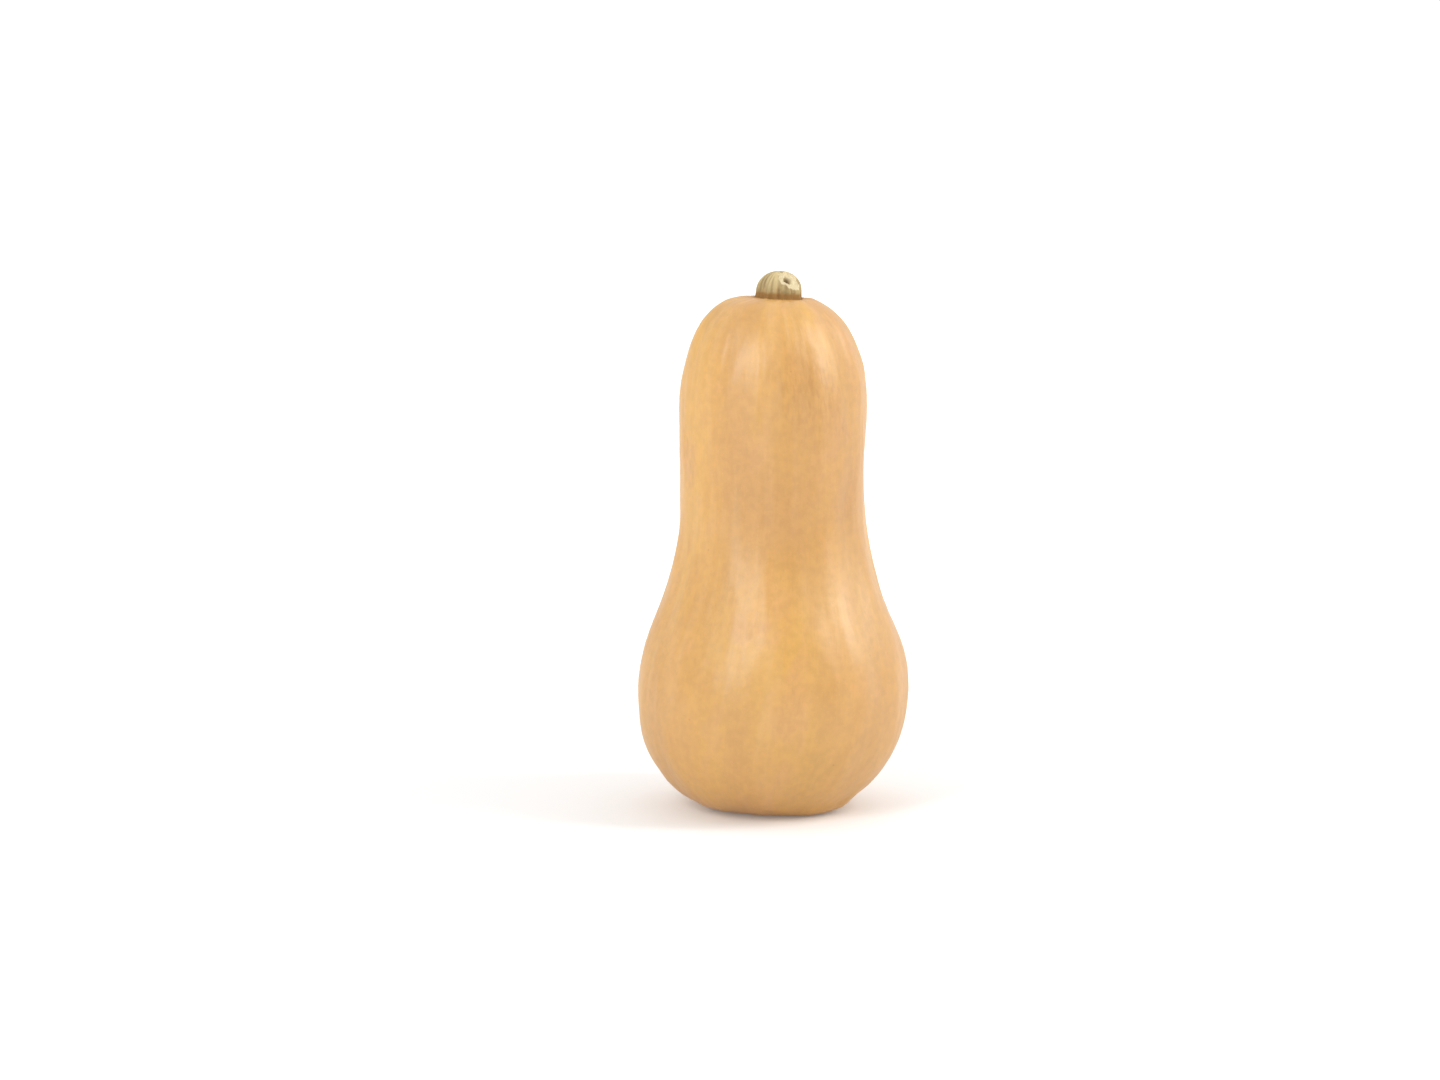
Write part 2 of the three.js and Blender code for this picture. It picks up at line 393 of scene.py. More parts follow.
def turned_mesh(name, rings):
    """A closed mesh from an array of rings x columns x 3, whose first and last rings are single points."""
    count, columns = rings.shape[:2]
    ring = 1 + columns * np.arange(count - 2)[:, None] + np.arange(columns)
    following = np.roll(ring, -1, axis=1)
    quads = np.stack([ring[:-1], following[:-1], following[1:], ring[1:]], axis=-1).reshape(-1, 4)
    first = np.stack([0 * ring[0], following[0], ring[0]], axis=-1)
    last = np.stack([0 * ring[-1] + ring[-1, -1] + 1, ring[-1], following[-1]], axis=-1)
    mesh = bpy.data.meshes.new(name)
    mesh.from_pydata(around(rings).tolist(), [], first.tolist() + quads.tolist() + last.tolist())
    mesh.polygons.foreach_set("use_smooth", np.ones(len(mesh.polygons), bool))
    mesh.update()
    piece = bpy.data.objects.new(name, mesh)
    bpy.context.collection.objects.link(piece)
    print(name, len(mesh.vertices), "vertices,", 2 * len(quads) + len(first) + len(last), "triangles")
    return piece


def store(piece, name, values):
    """Keeps one number, or one vector of three, per vertex in the mesh."""
    flat = around(values).astype(np.float32)
    kind, field = ("FLOAT", "value") if flat.ndim == 1 else ("FLOAT_VECTOR", "vector")
    piece.data.attributes.new(name, kind, "POINT").data.foreach_set(field, flat.ravel())


def fitted(points, low, high):
    """The points moved and stretched along each axis so that their box becomes the one from low to high."""
    own_low, own_high = points.min(axis=(0, 1)), points.max(axis=(0, 1))
    return low + (points - own_low) * (high - low) / (own_high - own_low)


# %% [markdown]
# Growth leaves waves of every size on a skin. A wave that runs round a fruit has to meet itself again, so
# each one makes a whole number of turns. A few dozen such waves, in random directions and from a fixed
# seed, add up to a surface that is uneven without being rough. Dents are separate: each is one shallow
# bell pressed in.

# %% Waves and dents
def waves(draw, count, shortest, longest, angle, distance, girth, stretch=1.0):
    """The sum of cos(turns x angle + 2 pi x distance / length + phase) over `count` waves, over the square
    root of their number. Each is between shortest and longest, and `stretch` times longer along the skin."""
    total = np.zeros(np.broadcast(angle, distance).shape)
    for _ in range(count):
        length = draw.uniform(shortest, longest)
        bearing = draw.uniform(0, np.pi)
        phase = draw.uniform(0, 2 * np.pi)
        turns = round(girth * math.cos(bearing) / length)
        climb = 2 * np.pi * math.sin(bearing) / (length * stretch)
        total += np.cos(turns * angle + climb * distance + phase)
    return total / math.sqrt(count)


def dents(draw, count, narrowest, widest, angle, distance, radius):
    """The sum of `count` bells from -1 to 1 high, at random places on the skin and of random widths."""
    total = np.zeros(np.broadcast(angle, distance).shape)
    for _ in range(count):
        dent_angle = draw.uniform(-np.pi, np.pi)
        dent_distance = draw.uniform(distance.min(), distance.max())
        width = draw.uniform(narrowest, widest)
        height = draw.uniform(-1, 1)
        sideways = radius * ((angle - dent_angle + np.pi) % (2 * np.pi) - np.pi)
        total += height * bell(np.hypot(sideways, distance - dent_distance), width)
    return total


# %% [markdown]
# ## The fruit
#
# The outline runs from the blossom scar underneath, over the flat resting spot, out round the belly, in
# to the neck, out again to the head, and over the shoulder down into the shallow seat of the stem. Where
# an arc meets a Bezier curve the bend changes at once, which a gleam on a smooth skin gives away, so the
# outline is blurred a little along its length between the resting spot and the shoulder.

# %% Sizes of the fruit
BELLY_RADIUS = 62.3 * MM
BELLY_HEIGHT = 52.5 * MM
NECK_RADIUS = 42.6 * MM
NECK_HEIGHT = 144.5 * MM
HEAD_RADIUS = 43.1 * MM
SHOULDER_RISE = 49 * MM  # from the widest ring of the head up to the crest
FOOT_RADIUS = 18 * MM
SCAR_RADIUS = 7.5 * MM
SCAR_DEPTH = 2 * MM
BELLY_PULL = 33 * MM  # how far the outline runs upright before it bends in
WAIST_PULL = 46 * MM
NECK_PULL = 19 * MM

STEM_RADIUS = 10.9 * MM
RIDGE_COUNT = 5
RIDGE_HEIGHT = 0.8 * MM
RIDGE_PHASE = 3.74
SEAT_DEPTH = 1.2 * MM
SEAT_CLEARANCE = 0.5 * MM
SEAT_GAP = 0.3 * MM  # that the solid model leaves under the stem, and the fine stem fills
LIP_WIDTH = 2.2 * MM
CREASE_WIDTH = 0.3 * MM  # of the fold between skin and stem, much finer than the solid model's lip
CREASE_DEPTH = 0.35 * MM

seat_radius = STEM_RADIUS + RIDGE_HEIGHT + SEAT_CLEARANCE
seat_height = FRUIT_LENGTH - SEAT_DEPTH
shoulder_radius = seat_radius + LIP_WIDTH
head_height = FRUIT_LENGTH - SHOULDER_RISE
print("the seat is", round(2 * seat_radius / MM, 1), "mm across")

# %% Draw the outline
SKIN_STEP = 1.35 * MM
FINE_STEP = 0.4 * MM  # near the seat and the blossom scar
FINE_REACH = 4 * MM  # how far the fine step goes on from the lip of the seat
DRAWING_STEP = 0.2 * MM
BLUR = 3.5 * MM
FOOT_SHARP_BELOW = 2 * MM  # the blur comes in between these two heights
FOOT_BLURRED_ABOVE = 12 * MM
LIP_BLURRED_BELOW = 9 * MM  # and it goes out between these two depths under the crest
LIP_SHARP_ABOVE = 1 * MM


def fruit_outline():
    """Radius and height of the skin from the middle of the scar to the middle of the seat."""
    quarter = math.pi / 2
    drawn = joined([
        bezier((0, SCAR_DEPTH), (SCAR_RADIUS / 2, SCAR_DEPTH), (SCAR_RADIUS / 2, 0), (SCAR_RADIUS, 0)),
        line((SCAR_RADIUS, 0), (FOOT_RADIUS, 0)),
        arc((FOOT_RADIUS, BELLY_HEIGHT), (BELLY_RADIUS - FOOT_RADIUS, BELLY_HEIGHT), -quarter, 0),
        bezier((BELLY_RADIUS, BELLY_HEIGHT), (BELLY_RADIUS, BELLY_HEIGHT + BELLY_PULL),
               (NECK_RADIUS, NECK_HEIGHT - WAIST_PULL), (NECK_RADIUS, NECK_HEIGHT)),
        bezier((NECK_RADIUS, NECK_HEIGHT), (NECK_RADIUS, NECK_HEIGHT + NECK_PULL),
               (HEAD_RADIUS, head_height - NECK_PULL), (HEAD_RADIUS, head_height)),
        arc((shoulder_radius, head_height), (HEAD_RADIUS - shoulder_radius, SHOULDER_RISE), 0, quarter),
        line((shoulder_radius, FRUIT_LENGTH), (seat_radius + CREASE_WIDTH, FRUIT_LENGTH)),
        bezier((seat_radius + CREASE_WIDTH, FRUIT_LENGTH), (seat_radius, FRUIT_LENGTH),
               (seat_radius, FRUIT_LENGTH), (seat_radius, FRUIT_LENGTH - CREASE_DEPTH)),
        line((seat_radius, FRUIT_LENGTH - CREASE_DEPTH), (seat_radius, seat_height)),
        line((seat_radius, seat_height), (0, seat_height)),
    ])
    even = respaced(drawn, DRAWING_STEP)
    soft = blurred(even, BLUR, DRAWING_STEP)
    above_foot = smoothstep(even[:, 1], FOOT_SHARP_BELOW, FOOT_BLURRED_ABOVE)
    near_crest = smoothstep(even[:, 1], FRUIT_LENGTH - LIP_BLURRED_BELOW, FRUIT_LENGTH - LIP_SHARP_ABOVE)
    share = (above_foot * (1 - near_crest))[:, None]
    outline = share * soft + (1 - share) * even
    from_middle, up = outline.T
    near_lip = bell(from_middle - seat_radius - LIP_WIDTH / 2, FINE_REACH) * (up > head_height)
    near_scar = bell(from_middle, SCAR_RADIUS) * (up < BELLY_HEIGHT)
    return respaced(outline, SKIN_STEP + (FINE_STEP - SKIN_STEP) * np.maximum(near_lip, near_scar))


outline = fruit_outline()
skin_length = travelled(outline)[-1]
print("skin is", round(skin_length / MM), "mm long from scar to seat, in", len(outline), "rings")

# %% [markdown]
# The growth rule is the solid model's own. Ten faint ribs, unevenly spaced and unevenly high, run from
# end to end and are strongest at the waist and under the shoulder. Soft lumps, two, three and five to a
# turn, drift round as they climb. The belly and the neck lean a little, the whole bows backward, a
# swelling carries the resting spot out to one side, and the crest and its seat sit off the middle and
# tilt down to the right.

# %% The growth rule
RIB_COUNT = 10
RIB_HEIGHT = 0.55 * MM
RIB_BEARING = math.radians(-58)
LUMP_HEIGHT = 0.5 * MM
GROWTH_FADE = 16 * MM
HEEL_HEIGHT = 8 * MM  # of the swelling beside the resting spot
HEEL_BEARING = math.radians(-42)
HEEL_SPREAD = 0.55  # round the fruit, in radians
HEEL_RISE = 5 * MM
BASE_SHIFT = -1.8 * MM
NECK_SHIFT = -0.6 * MM
BASE_REACH = 0.3  # how far up the base's shift goes, as a share of the length
BOW = 1.5 * MM
TILT_START = 0.82  # where the tilt of the crest begins, as a share of the length
SEAT_SHIFT = 2.2 * MM
SEAT_SPREAD = 9 * MM
CREST_TILT = math.radians(2.3)


def rib_wave(angle):
    """cos(10 (angle - bearing) + spacing), whose spacing wavers a little: 1 on a crest, -1 between two."""
    spacing = 0.5 * np.sin(2 * angle + 0.8) + 0.4 * np.sin(3 * angle + 2.1)
    return np.cos(RIB_COUNT * (angle - RIB_BEARING) + spacing)


def ribs(angle, height):
    """The rib wave times its strength at this height and its evenness on this side."""
    evenness = 0.7 + 0.3 * np.sin(2 * angle + 1.9)
    at_waist = bell(height / FRUIT_LENGTH - 0.47, 0.14)
    under_shoulder = bell(height / FRUIT_LENGTH - 0.95, 0.07)
    return RIB_HEIGHT * (0.5 + 0.5 * at_waist + 0.4 * under_shoulder) * evenness * rib_wave(angle)


def lumps(angle, height):
    """An oval, a three-sided and a five-sided wave, each turning as it climbs."""
    climb = 2 * np.pi * height / FRUIT_LENGTH
    oval = np.sin(2 * angle + 0.9 + 0.9 * climb)
    triad = 0.7 * np.sin(3 * angle + 2 - 0.7 * climb)
    five = 0.5 * np.sin(5 * angle + 4 + 1.2 * climb) * np.sin(2 * climb)
    return LUMP_HEIGHT * (oval + triad + five)


def heel(angle, height):
    """A low swelling that carries the resting spot out to one side: a bell round the fruit x one up it."""
    aside = (angle - HEEL_BEARING + np.pi) % (2 * np.pi) - np.pi
    return HEEL_HEIGHT * bell(aside, HEEL_SPREAD) * bell(height, HEEL_RISE)


def axis_at(height):
    """Sideways and backward place of the fruit's axis at a height."""
    base = 1 - smoothstep(height, 0, BASE_REACH * FRUIT_LENGTH)
    neck = bell(height / FRUIT_LENGTH - 0.6, 0.22)
    return BASE_SHIFT * base + NECK_SHIFT * neck, BOW * np.sin(np.pi * height / FRUIT_LENGTH)


def stem_ridges(angle):
    """How far the stem's five corky ridges stand out round its foot: height x cos(5 angle + phase)."""
    return RIDGE_HEIGHT * np.cos(RIDGE_COUNT * angle + RIDGE_PHASE)


# %% [markdown]
# Finer relief goes on along the skin's own normal: broad shallow waves and dents that break up a gleam,
# an orange-peel unevenness a few millimetres across, and small folds where the skin draws in round the
# stem. The blossom scar is a corky button: a knob in the middle, a ring of cracks, and a raised edge.

# %% Fine relief
SWELL_HEIGHT = 0.24 * MM
SWELL_LENGTHS = (16 * MM, 42 * MM)  # the shortest and the longest wave
PEEL_HEIGHT = 0.035 * MM
PEEL_LENGTHS = (4.5 * MM, 10 * MM)
STREAK_HEIGHT = 0.05 * MM
STREAK_LENGTHS = (5 * MM, 9 * MM)
DENT_DEPTH = 0.4 * MM
DENT_WIDTHS = (5 * MM, 14 * MM)
FOLD_HEIGHT = 0.22 * MM
FOLD_REACH = 7 * MM
KNOB_HEIGHT = 1.3 * MM
KNOB_RADIUS = 1.7 * MM
CRACK_DEPTH = 0.35 * MM
TOP_CLEARANCE = 6 * MM  # from the shoulder outward, over which the relief comes in


def skin_relief(angle, distance, radius, height):
    """Waves, dents, the folds at the stem and the cork of the blossom scar, as a height above the skin."""
    draw = np.random.default_rng(11)
    girth = 2 * np.pi * BELLY_RADIUS
    swell = waves(draw, 26, *SWELL_LENGTHS, angle, distance, girth, stretch=1.5)
    streaks = waves(draw, 40, *STREAK_LENGTHS, angle, distance, girth, stretch=7.0)
    peel = waves(draw, 60, *PEEL_LENGTHS, angle, distance, girth)
    pressed = dents(draw, 44, *DENT_WIDTHS, angle, distance, radius)
    clear = smoothstep(radius, FOOT_RADIUS, FOOT_RADIUS + GROWTH_FADE)
    skin = SWELL_HEIGHT * swell + STREAK_HEIGHT * streaks + PEEL_HEIGHT * peel + DENT_DEPTH * pressed
    at_top = height > head_height
    near_shoulder = bell(radius - shoulder_radius, FOLD_REACH)
    on_shoulder = at_top * near_shoulder * smoothstep(radius, seat_radius, shoulder_radius)
    folds = (
        0.6 * np.cos(RIDGE_COUNT * angle + RIDGE_PHASE)
        + 0.5 * np.cos(13 * angle + 1.0)
        + 0.5 * np.cos(29 * angle + 2.0)
    )
    at_scar = height < BELLY_HEIGHT
    knob = bell(radius, KNOB_RADIUS)
    cracks = np.abs(np.sin(4.5 * angle + 1.5 * np.sin(2 * angle))) ** 0.5 - 1
    in_scar = at_scar * bell(radius - 0.55 * SCAR_RADIUS, 0.3 * SCAR_RADIUS)
    from_lip = smoothstep(radius, seat_radius + LIP_WIDTH / 2, shoulder_radius + TOP_CLEARANCE)
    top_clear = np.where(at_top, from_lip, 1)
    return (
        skin * clear * top_clear
        + FOLD_HEIGHT * on_shoulder * folds
        + at_scar * KNOB_HEIGHT * knob
        + CRACK_DEPTH * in_scar * cracks
    )


# %% Grow the fruit
FRUIT_COLUMNS = 360
SEAT_HUG = 0.44 * MM  # how much closer than the model's clearance the skin comes to the stem
HUG_REACH = 2 * MM  # past the shoulder, where it ends


def fruit_rings():
    """Rings x columns x 3 points of the skin, with the angle, distance and radius that made each."""
    radius, height = outline[:, :1], outline[:, 1:]
    distance = travelled(outline)[:, None]
    angle = np.linspace(-np.pi, np.pi, FRUIT_COLUMNS, endpoint=False)[None, :]
    flat_edge = np.where(height < head_height, FOOT_RADIUS, shoulder_radius)
    fade = smoothstep(radius, flat_edge, flat_edge + GROWTH_FADE)
    normal = outward(outline)
    relief = skin_relief(angle, distance, radius, height)
    from_stem = smoothstep(radius, seat_radius, shoulder_radius + HUG_REACH)
    hug = np.where(height > head_height, 1 - from_stem, 0)
    hug = hug * smoothstep(radius, 0, seat_radius)
    out_of_scar = smoothstep(radius, SCAR_RADIUS, FOOT_RADIUS)
    grown = radius + fade * (ribs(angle, height) + lumps(angle, height)) + out_of_scar * heel(angle, height)
    grown = grown + hug * (stem_ridges(angle) - RIDGE_HEIGHT - SEAT_HUG) + relief * normal[:, :1]
    aside, back = axis_at(height)
    from_seat = smoothstep(radius, shoulder_radius, shoulder_radius + SEAT_SPREAD)
    aside = aside + SEAT_SHIFT * np.where(height < head_height, 0, 1 - from_seat)
    tilt = math.tan(CREST_TILT) * smoothstep(height, TILT_START * FRUIT_LENGTH, FRUIT_LENGTH)
    up = np.maximum(height + relief * normal[:, 1:], 0) - tilt * grown * np.cos(angle)
    points = np.stack([aside + grown * np.cos(angle), back + grown * np.sin(angle), up], axis=-1)
    return points, angle, distance, radius


points, angle, distance, radius = fruit_rings()
fruit = turned_mesh("pumpkin_fruit", fitted(points, fruit_low, fruit_high))

# %% Store what the skin's finish needs
GRAIN_RADIUS = 45 * MM
POLE_REACH = 6 * MM  # from each end of the axis, where the grain closes to a point
TWIST = 0.10  # how far the grain leans to either side on its way up, in radians
grain_radius = GRAIN_RADIUS * smoothstep(radius, 0, POLE_REACH)
twist = angle + TWIST * np.sin(2 * np.pi * distance / skin_length + 0.7)
grain = np.stack([
    grain_radius * np.cos(twist),
    grain_radius * np.sin(twist),
    distance + 0 * twist,
], axis=-1)
store(fruit, "grain", grain)
store(fruit, "rib", rib_wave(angle) + 0 * distance)
store(fruit, "from_axis", radius + 0 * angle)
print("fruit stores", [attribute.name for attribute in fruit.data.attributes])

# %% [markdown]
# ## The finish of the skin
#
# A ripe butternut is tan over orange flesh. Close up the tan is many colours: cloudy patches that are
# yellower or pinker, fine lengthwise streaks where the skin stretched as it grew, pale breathing pores, a
# few brown specks, and dull rubbed patches. Painted shade makes it a little darker between its ribs and
# lighter on them. Three broad patches have places of their own: a scuff on the head, painted shade on the
# right front of the neck, and a painted highlight over paler skin on the shoulder of the belly. The skin
# darkens to brown cork at the blossom scar and is a little browner towards the base. In the crease at the
# stem a thin brown corky line is deepened by painted shade. A painted image would tie all this to one
# unwrapping of the surface, so the patterns are nodes instead, laid along the skin by the stored grain.

# %% Colours of the skin
TAN = (0.605, 0.310, 0.076)
HONEY = (0.670, 0.360, 0.072)
PEACH = (0.640, 0.330, 0.105)
PALE = (0.700, 0.430, 0.190)
RUSSET = (0.430, 0.190, 0.045)
BARK_BROWN = (0.200, 0.090, 0.028)

# %% Sizes of the patterns and places of the patches
CLOUD_SIZE = 30 * MM
DRIFT_SIZE = 15 * MM
MOTTLE_SIZE = 4 * MM
BROAD_STREAK_SIZE = 7 * MM
FINE_STREAK_SIZE = 1.3 * MM
PORE_SPACING = 1.9 * MM
SPECK_SPACING = 9 * MM
RUB_LINE_SIZE = 1.8 * MM
SCUFF_PLACE = (0.018, -0.039, 0.196)  # a rubbed patch on the head, in metres
SCUFF_CORE = 4 * MM
SCUFF_REACH = 32 * MM
PAINTED_SHADE_PLACE = (0.020, -0.038, 0.156)  # painted shade on the right front of the neck
PAINTED_SHADE_CORE = 12 * MM
PAINTED_SHADE_REACH = 64 * MM
PALE_HIGHLIGHT_PLACE = (0.036, -0.036, 0.098)  # paler skin with a painted highlight on the shoulder of the belly
PALE_HIGHLIGHT_CORE = 4 * MM
PALE_HIGHLIGHT_REACH = 40 * MM
BASE_TINT_REACH = 50 * MM  # how far up the base the brown tint goes
CREASE_CORK_AND_SHADE = (0.2 * MM, 1.6 * MM)  # outward from the seat, where the brown corky line and painted shade of the crease fade out
CORK_FADE = (5 * MM, 12 * MM)  # the cork is kept below these heights
CORK_GRAIN_SIZE = 3 * MM
CORK_UNEVENNESS = 2.5 * MM  # of the edge of the cork round the blossom scar
SKIN_BUMP = 0.10 * MM


def skin_finish():
    """Tan mottled with honey and peach, with streaks, pores, specks, cork, rubbed patches, patches of
    painted shade and highlight, and a crease deepened by painted shade.
    """
    skin = Finish("pumpkin_skin", Specular_IOR_Level=0.9, Coat_Weight=0.15, Coat_Roughness=0.45)
    grain = skin.attribute("grain")
    place = skin.node("ShaderNodeTexCoord", output="Object")
    rib = skin.attribute("rib", "Fac")
    from_axis = skin.attribute("from_axis", "Fac")
    height = skin.node("ShaderNodeSeparateXYZ", inputs={0: place}, output="Z")
    lengthwise = skin.stretched(grain, (1, 1, 0.11))
    drawn_out = skin.stretched(grain, (1, 1, 0.45))

    clouds = skin.noise(drawn_out, CLOUD_SIZE, detail=4, roughness=0.55)
    drift = skin.noise(drawn_out, DRIFT_SIZE, detail=3, roughness=0.5, warp=0.4)
    mottle = skin.noise(place, MOTTLE_SIZE, detail=3, roughness=0.6)
    broad_streaks = skin.noise(lengthwise, BROAD_STREAK_SIZE, detail=2)
    fine_streaks = skin.noise(lengthwise, FINE_STREAK_SIZE, detail=3, roughness=0.65)

    colour = skin.mix(skin.between(clouds, 0.38, 0.66), TAN, HONEY)
    colour = skin.mix(skin.between(drift, 0.46, 0.72) * 0.8, colour, PEACH)
    colour = skin.mix(skin.between(broad_streaks, 0.48, 0.78) * 0.22, colour, PALE)
    shade = 0.91 + 0.09 * skin.between(mottle, 0.3, 0.7)
    # painted shade: the rib term makes the skin a little darker between the ribs and lighter on their crests
    shade = shade * (0.975 + 0.025 * skin.between(fine_streaks, 0.35, 0.65)) * (0.975 + 0.02 * rib)

    pore, pore_kind = skin.nearest_point(place, PORE_SPACING)
    pores = (1 - skin.between(pore, 0.06, 0.17)) * skin.between(pore_kind, 0.5, 0.6)
    colour = skin.mix(pores * 0.35, colour, PALE)

    speck, speck_kind = skin.nearest_point(place, SPECK_SPACING)
    specks = (1 - skin.between(speck, 0.02, 0.07)) * skin.between(speck_kind, 0.6, 0.7)
    colour = skin.mix(specks * 0.5, colour, RUSSET)

    rub_patch = skin.between(skin.noise(drawn_out, CLOUD_SIZE, detail=5, roughness=0.6), 0.56, 0.70)
    rub_grain = skin.stretched(grain, (1, 1, 0.3))
    rub_lines = skin.between(skin.noise(rub_grain, RUB_LINE_SIZE, detail=4), 0.45, 0.65)
    rubs = rub_patch * (0.35 + 0.65 * rub_lines)
    colour = skin.mix(rubs * 0.22, colour, RUSSET)
    scuff = skin.patch(place, SCUFF_PLACE, SCUFF_CORE, SCUFF_REACH) * (0.5 + 0.5 * rub_lines)
    colour = skin.mix(scuff * 0.52, colour, RUSSET)
    # painted shade: the right front of the neck and head darkened towards russet, where less light falls
    painted_shade_side = skin.patch(place, PAINTED_SHADE_PLACE, PAINTED_SHADE_CORE, PAINTED_SHADE_REACH)
    colour = skin.mix(painted_shade_side * 0.36, colour, RUSSET)
    # painted highlight over a little paler skin on the shoulder of the belly
    pale_highlight_shoulder = skin.patch(place, PALE_HIGHLIGHT_PLACE, PALE_HIGHLIGHT_CORE, PALE_HIGHLIGHT_REACH)
    colour = skin.mix(pale_highlight_shoulder * 0.38, colour, PALE)

    near_base = 1 - skin.between(height, 0.0, BASE_TINT_REACH)
    colour = skin.mix(near_base * 0.18, colour, RUSSET)
    above_head = skin.between(height, head_height, FRUIT_LENGTH)
    # the crease at the stem: a thin brown corky line, deepened by painted shade in the fold
    crease = above_head * (1 - skin.between(from_axis - seat_radius, *CREASE_CORK_AND_SHADE))
    colour = skin.mix(crease * 0.25, colour, RUSSET)
    below_belly = 1 - skin.between(height, *CORK_FADE)
    cork_edge = from_axis + CORK_UNEVENNESS * (skin.noise(place, CORK_GRAIN_SIZE) - 0.5)
    cork = below_belly * (1 - skin.between(cork_edge, 0.75 * SCAR_RADIUS, 1.15 * SCAR_RADIUS))
    colour = skin.mix(cork * 0.9, colour, BARK_BROWN)

    colour = skin.mix(1.0, colour, skin.grey(shade), "MULTIPLY")
    roughness = 0.43 + 0.10 * rubs + 0.06 * mottle + 0.35 * cork + 0.2 * crease
    relief = 0.5 * fine_streaks + 0.3 * mottle + 0.35 * pores - 0.3 * specks + 0.25 * rub_lines * rub_patch
    skin.shade(Base_Color=colour, Roughness=roughness.clamped(), Normal=skin.bump(relief, SKIN_BUMP))
    return skin.material


fruit.data.materials.append(skin_finish())
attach(fruit, "root")
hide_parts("fruit")
print("the skin's finish has", len(fruit.data.materials[0].node_tree.nodes), "nodes")

# %% [markdown]
# ## The stem
#
# The stem is a woody stub, broken off short. It flares at its foot, where five corky ridges grip the
# fruit, and it domes over at the top. The break is oblique and faces forward and to the right, with the
# hole of the soft pith in its middle. It is turned like the fruit and then pushed about: ridges, furrows
# between fibres, warts of cork, and everything that stands above the plane of the break pressed down onto
# it.

# %% Sizes of the stem
STEM_WAIST_RADIUS = 10.1 * MM
STEM_WAIST_HEIGHT = 4 * MM
STEM_HEIGHT = 13 * MM
STEM_EDGE = 0.6 * MM
DOME_FULLNESS = 0.61  # how square the dome is: 0.55 is an ellipse and 1 a box
BREAK_TILT = math.radians(45)
BREAK_BEARING = math.radians(-52)
BREAK_DEPTH = 1.8 * MM
PITH_RADIUS = 1.95 * MM
PITH_DEPTH = 3.2 * MM
STEM_COLUMNS = 300
STEM_STEP = 0.24 * MM

foot_edge = STEM_RADIUS - STEM_EDGE
bend = np.array([STEM_WAIST_RADIUS, STEM_EDGE])
foot_end = np.array([STEM_RADIUS, STEM_EDGE])
dome_start = np.array([STEM_WAIST_RADIUS, STEM_WAIST_HEIGHT])
dome_pull = DOME_FULLNESS * (STEM_HEIGHT - STEM_WAIST_HEIGHT)
foot_pull = foot_end + (bend - foot_end) * 2 / 3
waist_pull = dome_start + (bend - dome_start) * 2 / 3
stem_outline = respaced(joined([
    line((0, 0), (foot_edge, 0)),
    arc((foot_edge, STEM_EDGE), (STEM_EDGE, STEM_EDGE), -math.pi / 2, 0),
    bezier(foot_end, foot_pull, waist_pull, dome_start),
    bezier(dome_start, (STEM_WAIST_RADIUS, STEM_WAIST_HEIGHT + dome_pull),
           (DOME_FULLNESS * STEM_WAIST_RADIUS, STEM_HEIGHT), (0, STEM_HEIGHT)),
]), STEM_STEP)
print("stem outline has", len(stem_outline), "rings")

# %% Grow the stem
FIBRE_HEIGHT = 0.26 * MM
FIBRE_WIDTHS = (1.4 * MM, 5.0 * MM)
WART_HEIGHT = 0.22 * MM
WART_WIDTHS = (0.35 * MM, 0.9 * MM)
CHIP_HEIGHT = 0.25 * MM
CHIP_WIDTHS = (2.5 * MM, 8 * MM)
TEAR_HEIGHT = 0.16 * MM
TEAR_WIDTHS = (0.7 * MM, 2.2 * MM)
DISH_DEPTH = 0.5 * MM
DISH_RADIUS = 4.5 * MM
RIM_HEIGHT = 0.2 * MM  # of the raised ring round the pith
RIM_RADIUS = 2.2 * MM
RIM_WIDTH = 0.6 * MM
BREAK_SOFTNESS = 0.25 * MM
BREAK_EDGE = (-0.1 * MM, 0.35 * MM)  # over the plane, where the skin of the stem gives way to the break
STEM_POLE_REACH = 2 * MM


